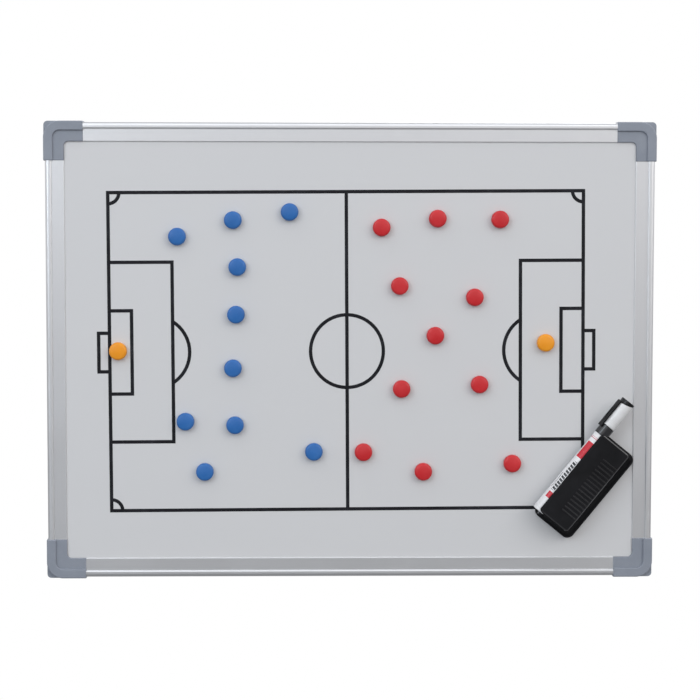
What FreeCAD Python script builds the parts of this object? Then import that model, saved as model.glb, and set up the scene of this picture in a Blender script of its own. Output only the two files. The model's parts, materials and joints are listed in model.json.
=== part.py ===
import FreeCAD, Part
import os
import re
import Sketcher

# Tactics board that hangs on a wall: X to the right, Z up, the board faces -Y.
# The wall is the plane y = 0, and a depth is measured from it towards the viewer.

SIZES = {
    # overall, over the plastic corners
    "board_width": 600.0,
    "board_height": 450.0,
    # rail section: inset is measured inwards from the rail's outer face
    "rail_back": 0.8,
    "rail_front": 15.0,
    "rail_wall": 1.4,
    "ridge_width": 6.4,
    "ridge_step": 2.0,
    "ridge_round": 3.4,
    "ridge_inner_round": 1.4,
    "lip_reach": 18.7,
    "lip_thick": 1.3,
    "lip_round": 0.6,
    "rear_lip_reach": 15.0,
    "chamber_width": 7.6,
    "screw_recess": 2.4,
    # panel
    "panel_gap": 0.7,
    "sheet_thick": 0.5,
    "back_sheet_thick": 0.4,
    # moulded corners
    "corner_leg": 38.5,
    "corner_proud": 1.2,
    "corner_rise": 0.8,
    "corner_flange_drop": 3.8,
    "corner_flange_radius": 4.0,
    "corner_ridge": 9.2,
    "corner_ridge_radius": 16.0,
    "corner_inner_radius": 4.5,
    "corner_edge_round": 1.2,
    "spigot_length": 22.0,
    "spigot_gap": 0.15,
    # hanging keyholes in the corners' backs
    "key_inset": 6.2,
    "key_drop": 22.0,
    "key_entry_radius": 4.0,
    "key_slot_radius": 1.9,
    "key_slot_rise": 9.0,
    "key_pocket_wall": 1.8,
    # corner screws
    "screw_setback": 12.0,
    "screw_head_radius": 2.8,
    "screw_head_height": 2.0,
    "screw_head_round": 0.9,
    "screw_shank_radius": 1.35,
    "screw_tip_cover": 0.75,
    "screw_point_length": 2.0,
    "screw_gap": 0.1,
    # printed pitch: the margins run from the frame's inner edge to the lines' centres
    "pitch_end_margin": 46.8,
    "pitch_side_margin": 48.4,
    "pitch_shift_x": -3.7,
    "pitch_shift_z": -0.1,
    "pitch_turn": 0.33,
    "line_width": 3.4,
    "ink_thick": 0.1,
    "area_depth": 62.0,
    "area_width": 177.0,
    "goal_area_depth": 21.8,
    "goal_area_width": 82.0,
    "goal_depth": 10.7,
    "goal_width": 38.0,
    "circle_radius": 35.9,
    "spot_distance": 42.6,
    "corner_arc_radius": 10.9,
    # player magnets
    "slide_gap": 0.3,
    "magnet_radius": 8.75,
    "magnet_height": 7.0,
    "magnet_round": 2.2,
    "magnet_crown": 0.8,
    "ferrite_radius": 6.4,
    "ferrite_thick": 3.0,
    "ferrite_gap": 0.1,
    "ferrite_sink": 0.2,
    # eraser: x along its length to its head, y towards the marker, heights from the writing sheet
    "eraser_side_gap": 0.75,
    "eraser_floor_gap": 20.0,
    "eraser_turn": 50.8,
    "eraser_length": 105.2,
    "eraser_width": 46.7,
    "eraser_radius": 7.5,
    "eraser_height": 22.8,
    "eraser_wall": 2.2,
    "eraser_ledge": 1.0,
    "eraser_ledge_height": 1.8,
    "eraser_tail_slope": 6.1,
    "eraser_head_slope": 1.9,
    "eraser_top_radius": 3.2,
    "eraser_grip_slope": 9.9,
    "eraser_edge": 1.4,
    "felt_top": 5.0,
    "felt_inset": 1.2,
    "rib_count": 16,
    "rib_pitch": 4.2,
    "rib_width": 1.5,
    "rib_length": 17.0,
    "rib_round": 0.5,
    "rib_height": 0.6,
    "rib_margin": 1.6,
    "bar_length": 28.0,
    "bar_width": 14.0,
    "bar_height": 4.0,
    "bar_spread": 48.0,
    # marker: x along its axis from the rear end
    "marker_radius": 6.7,
    "marker_inset": 3.0,
    "marker_setback": 4.9,
    "groove_floor": 1.4,
    "groove_gap": 0.3,
    "groove_lip_over": 1.1,
    "plug_flange": 3.0,
    "plug_round": 1.0,
    "plug_spigot": 8.0,
    "barrel_wall": 1.1,
    "inner_gap": 0.1,
    "collar_out": 6.8,
    "collar_length": 10.9,
    "cap_step": 0.7,
    "collar_step": 0.1,
    "collar_spigot": 8.0,
    "spout_step": 1.5,
    "spout_length": 10.0,
    "spout_tip_radius": 3.2,
    "spout_taper": 5.0,
    "nib_radius": 2.2,
    "nib_reach": 24.0,
    "nib_round": 1.6,
    "nib_clear": 3.3,
    "reservoir_gap": 1.0,
    "cap_gap": 0.3,
    "cap_roof": 4.5,
    "cap_end_long": 5.7,
    "cap_end_short": 1.2,
    "clip_roll": 26.0,
    "clip_width": 5.4,
    "clip_thick": 1.8,
    "clip_stand": 0.5,
    "clip_overhang": 4.2,
    "clip_drop": 3.8,
    "clip_round": 1.2,
}

# Where the player magnets stand: shares of half the pitch's length and of half its width, from its centre.
PLACES = {
    "blue": [
        (-0.242, 0.872), (-0.48, 0.821), (-0.714, 0.718), (-0.462, 0.528),
        (-0.468, 0.23), (-0.481, -0.107), (-0.682, -0.443), (-0.473, -0.466),
        (-0.14, -0.635), (-0.601, -0.761),
    ],
    "red": [
        (0.381, 0.832), (0.644, 0.827), (0.145, 0.776), (0.222, 0.41),
        (0.539, 0.339), (0.373, 0.098), (0.561, -0.21), (0.231, -0.238),
        (0.07, -0.638), (0.702, -0.711), (0.324, -0.762),
    ],
    "orange": [(-0.964, 0.001), (0.84, 0.053)],
}

# Depths and insets that several pieces share.
LIP_FRONT = "(rail_front - ridge_step)"
SHEET_FRONT = "(rail_front - ridge_step - lip_thick)"
PANEL_BACK = "(rail_back + rail_wall)"
RECESS_FLOOR = "(rail_back + screw_recess)"
CHAMBER_BACK = "(rail_back + screw_recess + rail_wall)"
CHAMBER_INNER = "(rail_wall + chamber_width)"
CHANNEL_START = "(2 * rail_wall + chamber_width)"
SCREW_INSET = "(rail_wall + chamber_width / 2)"
PANEL_INSET = "(corner_proud + 2 * rail_wall + chamber_width + panel_gap)"
FRAME_EDGE = "(corner_proud + lip_reach)"
FLANGE_FRONT = "(rail_front + corner_rise - corner_flange_drop)"
SCREW_TIP = f"({SHEET_FRONT} - spigot_gap - screw_tip_cover)"
PITCH_LENGTH = f"(board_width - 2 * ({FRAME_EDGE} + pitch_end_margin))"
PITCH_WIDTH = f"(board_height - 2 * ({FRAME_EDGE} + pitch_side_margin))"

# The eraser lies in the lower right corner: its reach is from its centre to its furthest side.
STRAIGHT_LONG = "(eraser_length / 2 - eraser_radius)"
STRAIGHT_WIDE = "(eraser_width / 2 - eraser_radius)"
REACH_X = f"({STRAIGHT_LONG} * cos(eraser_turn) + {STRAIGHT_WIDE} * sin(eraser_turn) + eraser_radius)"
REACH_Z = f"({STRAIGHT_LONG} * sin(eraser_turn) + {STRAIGHT_WIDE} * cos(eraser_turn) + eraser_radius)"
ERASER_X = f"(board_width / 2 - {FRAME_EDGE} - eraser_side_gap - {REACH_X})"
ERASER_Z = f"({FRAME_EDGE} + eraser_floor_gap + {REACH_Z} - board_height / 2)"

# Where the marker lies on the eraser, and its own stations along its axis.
MARKER_START = "(marker_setback - eraser_length / 2)"
MARKER_Y = "(eraser_width / 2 - marker_inset)"
GROOVE_RADIUS = "(marker_radius + groove_gap)"
CAP_RADIUS = "(marker_radius + cap_step)"
MARKER_HEIGHT = f"(felt_top + groove_floor + {GROOVE_RADIUS})"
COLLAR_END = "(eraser_length - marker_setback + collar_out)"
BARREL_END = f"({COLLAR_END} - collar_length)"
CAP_MOUTH = f"({COLLAR_END} + cap_gap)"
CAP_FLOOR = f"({COLLAR_END} + nib_reach + nib_clear)"
CAP_END = f"({CAP_FLOOR} + cap_roof)"

# Lengths under this count as none, and so does a cut under this volume.
NEAR_ZERO = 1e-6
LEAST_CUT = 1e-3

doc = FreeCAD.newDocument("tactics_board")
sheet = doc.addObject("Spreadsheet::Sheet", "dims")
for row, (alias, size) in enumerate(SIZES.items(), start=1):
    sheet.set(f"A{row}", alias)
    sheet.set(f"B{row}", str(size))
    sheet.setAlias(f"B{row}", alias)
doc.recompute()

nodes = []


def bound(text):
    # The expression with each size read from its cell.
    return re.sub(r"[a-z]\w*", lambda word: f"dims.{word[0]}" if word[0] in SIZES else word[0], text)


def number_of(text):
    return float(sheet.evalExpression(bound(text)))


def new_body(node):
    body = doc.addObject("PartDesign::Body", node)
    body.Label = node
    return body


def origin_plane(body, role):
    return next(item for item in body.Origin.OriginFeatures if item.Role == role)


def new_sketch(body, role, offset="0"):
    sketch = body.newObject("Sketcher::SketchObject", f"{body.Name}_sketch")
    sketch.AttachmentSupport = [(origin_plane(body, role), "")]
    sketch.MapMode = "FlatFace"
    sketch.setExpression("AttachmentOffset.Base.z", bound(offset))
    return sketch


def fix_size(sketch, kind, *targets, size):
    index = sketch.addConstraint(Sketcher.Constraint(kind, *targets, number_of(size)))
    sketch.setExpression(f"Constraints[{index}]", bound(size))


def fix_point(sketch, shape, point, x, y):
    fix_size(sketch, "DistanceX", -1, 1, shape, point, size=x)
    fix_size(sketch, "DistanceY", -1, 1, shape, point, size=y)


def join(sketch, shape, point, other, other_point):
    sketch.addConstraint(Sketcher.Constraint("Coincident", shape, point, other, other_point))


def add_loop(sketch, corners):
    # A closed outline. A corner with a third entry is a square one, rounded to that radius.
    spots = [FreeCAD.Vector(number_of(corner[0]), number_of(corner[1]), 0) for corner in corners]
    starts = list(spots)
    ends = list(spots)
    rounded = {}
    for index, corner in enumerate(corners):
        if len(corner) < 3:
            continue
        before = (spots[index] - spots[index - 1]).normalize()
        after = (spots[(index + 1) % len(spots)] - spots[index]).normalize()
        radius = number_of(corner[2])
        ends[index] = spots[index] - before * radius
        starts[index] = spots[index] + after * radius
        inward = after - before
        rounded[index] = (radius, inward, abs(before.x) > abs(before.y))
    lines = []
    for index in range(len(corners)):
        following = ends[(index + 1) % len(corners)]
        lines.append(sketch.addGeometry(Part.LineSegment(starts[index], following)))
    for index, corner in enumerate(corners):
        if index not in rounded:
            join(sketch, lines[index - 1], 2, lines[index], 1)
            fix_point(sketch, lines[index], 1, corner[0], corner[1])
            continue
        radius, inward, arrives_level = rounded[index]
        centre = spots[index] + inward * radius
        middle = centre - inward * (radius / inward.Length)
        arc = sketch.addGeometry(Part.Arc(ends[index], middle, starts[index]))
        starts_first = sketch.getPoint(arc, 1).distanceToPoint(ends[index]) < radius / 2
        entry, leave = (1, 2) if starts_first else (2, 1)
        join(sketch, lines[index - 1], 2, arc, entry)
        join(sketch, arc, leave, lines[index], 1)
        shift_x = f"{corner[0]} + {round(inward.x)} * ({corner[2]})"
        shift_y = f"{corner[1]} + {round(inward.y)} * ({corner[2]})"
        fix_point(sketch, arc, 3, shift_x, shift_y)
        fix_size(sketch, "Radius", arc, size=corner[2])
        first, second = ("Vertical", "Horizontal") if arrives_level else ("Horizontal", "Vertical")
        sketch.addConstraint(Sketcher.Constraint(first, arc, entry, arc, 3))
        sketch.addConstraint(Sketcher.Constraint(second, arc, leave, arc, 3))


def add_circle(sketch, x, y, radius):
    spot = FreeCAD.Vector(number_of(x), number_of(y), 0)
    normal = FreeCAD.Vector(0, 0, 1)
    circle = sketch.addGeometry(Part.Circle(spot, normal, number_of(radius)))
    fix_point(sketch, circle, 3, x, y)
    fix_size(sketch, "Radius", circle, size=radius)


def rectangle(left, right, low, high, radius=None):
    corners = [(left, low), (right, low), (right, high), (left, high)]
    if radius is None:
        return corners
    return [(x, y, radius) for x, y in corners]


def outline(body, role, *loops, offset="0"):
    sketch = new_sketch(body, role, offset)
    for corners in loops:
        add_loop(sketch, corners)
    return sketch


def extrude(body, kind, sketch, length, midplane=False):
    feature = body.newObject(f"PartDesign::{kind}", f"{body.Name}_{kind}")
    feature.Profile = sketch
    feature.Midplane = midplane
    feature.setExpression("Length", bound(length))
    return feature


def pad(body, sketch, length, midplane=False):
    return extrude(body, "Pad", sketch, length, midplane)


def pocket(body, sketch, length, midplane=False):
    # The cut must take something away.
    before = body.Shape.Volume
    feature = extrude(body, "Pocket", sketch, length, midplane)
    doc.recompute()
    if body.Shape.Volume > before - LEAST_CUT:
        raise RuntimeError(f"a pocket in {body.Label} cuts nothing")
    return feature


def revolve(body, sketch, axis):
    feature = body.newObject("PartDesign::Revolution", f"{body.Name}_turned")
    feature.Profile = sketch
    feature.ReferenceAxis = (sketch, [axis])
    feature.Angle = 360
    return feature


def round_edges(body, picks, radius):
    # Rounds the edges of the body's last feature that picks chooses.
    doc.recompute()
    last = body.Tip
    names = [f"Edge{index}" for index, edge in enumerate(last.Shape.Edges, start=1) if picks(edge)]
    feature = body.newObject("PartDesign::Fillet", f"{body.Name}_round")
    feature.Base = (last, names)
    feature.setExpression("Radius", bound(radius))
    return feature


def set_place(item, x, y, z, pitch="0", roll="0"):
    spot = f"vector({bound(x)}; {bound(y)}; {bound(z)})"
    turn = f"rotation(0; {bound(pitch)}; {bound(roll)})"
    item.setExpression("Placement", f"placement({spot}; {turn})")


def flat_panel(node, back, thickness):
    body = new_body(node)
    half_x = f"(board_width / 2 - {PANEL_INSET})"
    half_z = f"(board_height / 2 - {PANEL_INSET})"
    face = rectangle(f"-{half_x}", half_x, f"-{half_z}", half_z)
    pad(body, outline(body, "XZ_Plane", face, offset=back), thickness)
    nodes.append(body)


def build_panel():
    flat_panel("back_sheet", PANEL_BACK, "back_sheet_thick")
    core_back = f"{PANEL_BACK} + back_sheet_thick"
    flat_panel("core_panel", core_back, f"{SHEET_FRONT} - sheet_thick - ({core_back})")
    flat_panel("writing_sheet", f"{SHEET_FRONT} - sheet_thick", "sheet_thick")


def line_frame(body, left, right, low, high):
    # A rectangle drawn with the pitch line, its sides given at the line's centre.
    outer = rectangle(
        f"{left} - line_width / 2", f"{right} + line_width / 2",
        f"{low} - line_width / 2", f"{high} + line_width / 2",
    )
    inner = rectangle(
        f"{left} + line_width / 2", f"{right} - line_width / 2",
        f"{low} + line_width / 2", f"{high} - line_width / 2",
    )
    return pad(body, outline(body, "XZ_Plane", outer, inner), "ink_thick")


def line_arc(body, x, y, radius, tips):
    # A stretch of circle drawn with the pitch line. tips gives, for each end, its plain coordinate.
    sketch = new_sketch(body, "XZ_Plane")
    centre = FreeCAD.Vector(number_of(x), number_of(y), 0)
    arcs = []
    for side in ("-", "+"):
        size = f"({radius} {side} line_width / 2)"
        reach = number_of(size)
        ends = []
        for axis, place, sign in tips:
            known = number_of(place) - (centre.x if axis == "X" else centre.y)
            other = sign * (reach**2 - known**2) ** 0.5
            step = (known, other) if axis == "X" else (other, known)
            ends.append(centre + FreeCAD.Vector(*step, 0))
        bulge = (ends[0] + ends[1]) / 2 - centre
        middle = centre + bulge.normalize() * reach
        arc = sketch.addGeometry(Part.Arc(ends[0], middle, ends[1]))
        order = (1, 2) if sketch.getPoint(arc, 1).distanceToPoint(ends[0]) < NEAR_ZERO else (2, 1)
        fix_point(sketch, arc, 3, x, y)
        fix_size(sketch, "Radius", arc, size=size)
        for point, (axis, place, _) in zip(order, tips):
            fix_size(sketch, f"Distance{axis}", -1, 1, arc, point, size=place)
        arcs.append((arc, order, ends))
    (inner, inner_order, inner_ends), (outer, outer_order, outer_ends) = arcs
    for end in (0, 1):
        line = sketch.addGeometry(Part.LineSegment(inner_ends[end], outer_ends[end]))
        join(sketch, line, 1, inner, inner_order[end])
        join(sketch, line, 2, outer, outer_order[end])
    return pad(body, sketch, "ink_thick")


def build_markings():
    body = new_body("pitch_markings")
    goal_line = f"-{PITCH_LENGTH} / 2"
    touch_line = f"{PITCH_WIDTH} / 2"
    line_frame(body, goal_line, f"{PITCH_LENGTH} / 2", f"-{touch_line}", touch_line)
    halfway = rectangle("-line_width / 2", "line_width / 2", f"-{touch_line}", touch_line)
    pad(body, outline(body, "XZ_Plane", halfway), "ink_thick")
    circle = new_sketch(body, "XZ_Plane")
    add_circle(circle, "0", "0", "circle_radius + line_width / 2")
    add_circle(circle, "0", "0", "circle_radius - line_width / 2")
    pad(body, circle, "ink_thick")
    area_line = f"({goal_line} + area_depth)"
    goal_area_line = f"({goal_line} + goal_area_depth)"
    half = [
        line_frame(body, goal_line, area_line, "-area_width / 2", "area_width / 2"),
        line_frame(body, goal_line, goal_area_line, "-goal_area_width / 2", "goal_area_width / 2"),
        line_frame(body, f"({goal_line} - goal_depth)", goal_line, "-goal_width / 2", "goal_width / 2"),
        line_arc(body, f"{goal_line} + spot_distance", "0", "circle_radius",
                 [("X", area_line, -1), ("X", area_line, 1)]),
    ]
    for side, sign in (("-", 1), ("", -1)):
        edge = f"{side}{touch_line}"
        tips = [("Y", edge, 1), ("X", goal_line, sign)]
        half.append(line_arc(body, goal_line, edge, "corner_arc_radius", tips))
    doc.recompute()
    other_half = body.newObject("PartDesign::Mirrored", "other_half")
    other_half.Originals = half
    other_half.MirrorPlane = (origin_plane(body, "YZ_Plane"), [""])
    body.Tip = other_half
    set_place(body, "pitch_shift_x", f"-{SHEET_FRONT}", "pitch_shift_z", pitch="-pitch_turn")
    nodes.append(body)


def rail_section(across, along):
    # The extruded section: across turns an inset into a coordinate, along turns a depth into one.
    ridge_inner = "(ridge_width - rail_wall)"
    outer = [
        ("0", "rail_back"),
        ("0", "rail_front", "ridge_round"),
        ("ridge_width", "rail_front", "ridge_inner_round"),
        ("ridge_width", LIP_FRONT),
        ("lip_reach", LIP_FRONT, "lip_round"),
        ("lip_reach", SHEET_FRONT),
        (CHANNEL_START, SHEET_FRONT),
        (CHANNEL_START, PANEL_BACK),
        ("rear_lip_reach", PANEL_BACK),
        ("rear_lip_reach", "rail_back"),
        (CHAMBER_INNER, "rail_back"),
        (CHAMBER_INNER, RECESS_FLOOR),
        ("rail_wall", RECESS_FLOOR),
        ("rail_wall", "rail_back"),
    ]
    chamber = [
        ("rail_wall", CHAMBER_BACK),
        ("rail_wall", "(rail_front - rail_wall)", "(ridge_round - rail_wall)"),
        (ridge_inner, "(rail_front - rail_wall)"),
        (ridge_inner, SHEET_FRONT),
        (CHAMBER_INNER, SHEET_FRONT),
        (CHAMBER_INNER, CHAMBER_BACK),
    ]
    return [[(across(c[0]), along(c[1]), *c[2:]) for c in loop] for loop in (outer, chamber)]


def rail_edge(side, extent, inset):
    return f"{side}({extent} / 2 - corner_proud - {inset})"


def screw_reach(side, extent):
    return f"{side}({extent} / 2 - corner_leg - screw_setback)"


def build_rail(node, side, level):
    body = new_body(node)
    across_extent, run_extent = ("board_height", "board_width") if level else ("board_width", "board_height")

    def across(inset):
        return rail_edge(side, across_extent, inset)

    def along(depth):
        return f"-({depth})"

    loops = rail_section(across, along)
    if level:
        loops = [[(c[1], c[0], *c[2:]) for c in loop] for loop in loops]
    section = outline(body, "YZ_Plane" if level else "XY_Plane", *loops)
    pad(body, section, f"{run_extent} - 2 * corner_leg", midplane=True)
    holes = new_sketch(body, "XZ_Plane", CHAMBER_BACK)
    for end in ("-", ""):
        spot = [screw_reach(end, run_extent), across(SCREW_INSET)]
        if not level:
            spot.reverse()
        add_circle(holes, *spot, "screw_shank_radius + 2 * screw_gap")
    doc.recompute()
    pocket(body, holes, "rail_wall")
    nodes.append(body)


def build_corner(node, side_x, side_z):
    body = new_body(node)

    def place(inset_x, inset_z, *radius):
        x = f"{side_x}(board_width / 2 - {inset_x})"
        z = f"{side_z}(board_height / 2 - {inset_z})"
        return (x, z, *radius)

    def angle_outline(width, outer_radius, inner_radius):
        return [
            place("0", "0", outer_radius),
            place("corner_leg", "0"),
            place("corner_leg", width),
            place(width, width, inner_radius),
            place(width, "corner_leg"),
            place("0", "corner_leg"),
        ]

    def block(near_x, far_x, near_z, far_z):
        return [place(near_x, near_z), place(far_x, near_z), place(far_x, far_z), place(near_x, far_z)]

    ridge_inner_radius = "(corner_ridge_radius - corner_ridge)"
    lip_front = f"({LIP_FRONT} + corner_rise)"
    ridge_front = "(rail_front + corner_rise)"
    flange = angle_outline(FRAME_EDGE, "corner_flange_radius", "corner_inner_radius")
    lip = angle_outline(FRAME_EDGE, "corner_ridge_radius", "corner_inner_radius")
    ridge = angle_outline("corner_ridge", "corner_ridge_radius", ridge_inner_radius)
    pad(body, outline(body, "XZ_Plane", flange), FLANGE_FRONT)
    pad(body, outline(body, "XZ_Plane", lip), lip_front)
    pad(body, outline(body, "XZ_Plane", ridge), ridge_front)
    leg_ends = [f"{side_x}(board_width / 2 - corner_leg)", f"{side_z}(board_height / 2 - corner_leg)"]
    end_x, end_z = (number_of(text) for text in leg_ends)
    front = -number_of(ridge_front)

    def on_ridge_edge(edge):
        corners = [vertex.Point for vertex in edge.Vertexes]
        at_front = all(abs(point.y - front) < NEAR_ZERO for point in corners)
        at_end_x = all(abs(point.x - end_x) < NEAR_ZERO for point in corners)
        at_end_z = all(abs(point.z - end_z) < NEAR_ZERO for point in corners)
        return at_front and not at_end_x and not at_end_z

    round_edges(body, on_ridge_edge, "corner_edge_round")

    # the panel's corner sits in a channel between the front lip and the back plate
    start = f"(corner_proud + {CHANNEL_START})"
    channel = block(start, "corner_leg", start, "corner_leg")
    pocket(body, outline(body, "XZ_Plane", channel, offset=SHEET_FRONT), f"{SHEET_FRONT} - {PANEL_BACK}")

    # a spigot from each leg fills the rail's chamber
    near = "(corner_proud + rail_wall + spigot_gap)"
    far = f"(corner_proud + {CHAMBER_INNER} - spigot_gap)"
    root = "(corner_leg - rail_wall)"
    tip = "(corner_leg + spigot_length)"
    spigot_back = f"({CHAMBER_BACK} + spigot_gap)"
    spigot_height = f"{SHEET_FRONT} - spigot_gap - {spigot_back}"
    pad(body, outline(body, "XZ_Plane", block(root, tip, near, far), offset=spigot_back), spigot_height)
    pad(body, outline(body, "XZ_Plane", block(near, far, root, tip), offset=spigot_back), spigot_height)
    pilots = new_sketch(body, "XZ_Plane", SCREW_TIP)
    reach = "(corner_leg + screw_setback)"
    inset = f"(corner_proud + {SCREW_INSET})"
    for spot in (place(reach, inset), place(inset, reach)):
        add_circle(pilots, *spot, "screw_shank_radius + screw_gap")
    doc.recompute()
    pocket(body, pilots, f"{SCREW_TIP} - {CHAMBER_BACK}")

    # the keyhole: a pocket for the screw's head behind the back plate, its entry and its slot
    pocket_floor = f"({FLANGE_FRONT} - key_pocket_wall)"
    room = block(
        "key_pocket_wall", "(2 * key_inset - key_pocket_wall)",
        "(key_drop - key_slot_rise - key_slot_radius - key_pocket_wall)", "(corner_leg - 2 * rail_wall)",
    )
    pocket(body, outline(body, "XZ_Plane", room, offset=pocket_floor), f"{pocket_floor} - {PANEL_BACK}")
    entry_x, entry_z = place("key_inset", "key_drop")
    slot_end = f"{entry_z} + key_slot_rise"
    rounds = new_sketch(body, "XZ_Plane", PANEL_BACK)
    add_circle(rounds, entry_x, entry_z, "key_entry_radius")
    add_circle(rounds, entry_x, slot_end, "key_slot_radius")
    pocket(body, rounds, PANEL_BACK)
    slot = rectangle(f"{entry_x} - key_slot_radius", f"{entry_x} + key_slot_radius", entry_z, slot_end)
    pocket(body, outline(body, "XZ_Plane", slot, offset=PANEL_BACK), PANEL_BACK)
    nodes.append(body)


def build_screws():
    places = []
    for end in ("-", ""):
        for side in ("-", ""):
            edge_z = rail_edge(side, "board_height", SCREW_INSET)
            edge_x = rail_edge(side, "board_width", SCREW_INSET)
            places.append((screw_reach(end, "board_width"), edge_z))
            places.append((edge_x, screw_reach(end, "board_height")))
    shank_length = f"({SCREW_TIP} - {RECESS_FLOOR})"
    profile = [
        ("0", "-screw_head_height"),
        ("screw_head_radius", "-screw_head_height", "screw_head_round"),
        ("screw_head_radius", "0"),
        ("screw_shank_radius", "0"),
        ("screw_shank_radius", f"{shank_length} - screw_point_length"),
        ("0", shank_length),
    ]
    screws = []
    for x, z in places:
        body = new_body(f"screw_{len(screws) + 1}")
        revolve(body, outline(body, "XZ_Plane", profile), "V_Axis")
        set_place(body, x, f"-{RECESS_FLOOR}", z, roll="90")
        screws.append(body)
    group = doc.addObject("Part::Compound", "corner_screws")
    group.Label = "corner_screws"
    group.Links = screws
    nodes.append(group)


def magnet_profile(body, pocket_radius, pocket_top):
    # The cap's half section: straight sides, a crowned top, and the disc's pocket below.
    corners = [
        ("0", "magnet_height"),
        ("0", pocket_top),
        (pocket_radius, pocket_top),
        (pocket_radius, "0"),
        ("magnet_radius", "0"),
        ("magnet_radius", "magnet_height - magnet_crown"),
    ]
    sketch = new_sketch(body, "XZ_Plane")
    spots = [FreeCAD.Vector(number_of(x), number_of(y), 0) for x, y in corners]
    lines = [sketch.addGeometry(Part.LineSegment(*ends)) for ends in zip(spots, spots[1:])]
    for before, after in zip(lines, lines[1:]):
        join(sketch, before, 2, after, 1)
    for line, corner in zip(lines, corners):
        fix_point(sketch, line, 1, *corner)
    fix_point(sketch, lines[-1], 2, *corners[-1])
    top, rim = spots[0], spots[-1]
    curve = (rim.x**2 + (top.y - rim.y) ** 2) / (2 * (top.y - rim.y))
    centre = FreeCAD.Vector(0, top.y - curve, 0)
    middle = centre + ((top + rim) / 2 - centre).normalize() * curve
    crown = sketch.addGeometry(Part.Arc(rim, middle, top))
    rim_end, top_end = (1, 2) if sketch.getPoint(crown, 1).x > NEAR_ZERO else (2, 1)
    join(sketch, crown, rim_end, lines[-1], 2)
    join(sketch, crown, top_end, lines[0], 1)
    fix_size(sketch, "DistanceX", -1, 1, crown, 3, size="0")
    return sketch


def build_magnet(name, share_x, share_z):
    node = f"magnet_{name}"
    pocket_radius = "(ferrite_radius + ferrite_gap)"
    pocket_top = "(ferrite_sink + ferrite_thick)"
    cap = new_body(f"{node}_cap")
    revolve(cap, magnet_profile(cap, pocket_radius, pocket_top), "V_Axis")
    rim = number_of("magnet_height - magnet_crown")

    def on_rim(edge):
        return all(abs(vertex.Z - rim) < NEAR_ZERO for vertex in edge.Vertexes) and edge.Closed

    round_edges(cap, on_rim, "magnet_round")
    ferrite = new_body(f"{node}_ferrite")
    disc = rectangle("0", "ferrite_radius", "ferrite_sink", pocket_top)
    revolve(ferrite, outline(ferrite, "XZ_Plane", disc), "V_Axis")
    magnet = doc.addObject("Part::Compound", node)
    magnet.Label = node
    magnet.Links = [cap, ferrite]
    x = f"pitch_shift_x + {share_x} * {PITCH_LENGTH} / 2"
    z = f"pitch_shift_z + {share_z} * {PITCH_WIDTH} / 2"
    set_place(magnet, x, f"-({SHEET_FRONT} + slide_gap)", z, roll="90")
    nodes.append(magnet)


def place_on_eraser(item):
    set_place(item, ERASER_X, f"-{SHEET_FRONT}", ERASER_Z, pitch="-eraser_turn", roll="90")


def place_on_marker(item):
    # The marker's own frame starts at its rear end, with y towards the clip.
    x = f"{ERASER_X} + {MARKER_START} * cos(eraser_turn) - {MARKER_Y} * sin(eraser_turn)"
    z = f"{ERASER_Z} + {MARKER_START} * sin(eraser_turn) + {MARKER_Y} * cos(eraser_turn)"
    y = f"-({SHEET_FRONT} + {MARKER_HEIGHT})"
    set_place(item, x, y, z, pitch="-eraser_turn", roll="90 + clip_roll")


def loft(body, kind, sections):
    sketches = [outline(body, "XY_Plane", corners, offset=height) for corners, height in sections]
    feature = body.newObject(f"PartDesign::{kind}", f"{body.Name}_{kind}")
    feature.Profile = sketches[0]
    feature.Sections = sketches[1:]
    feature.Ruled = True
    return feature


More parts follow.
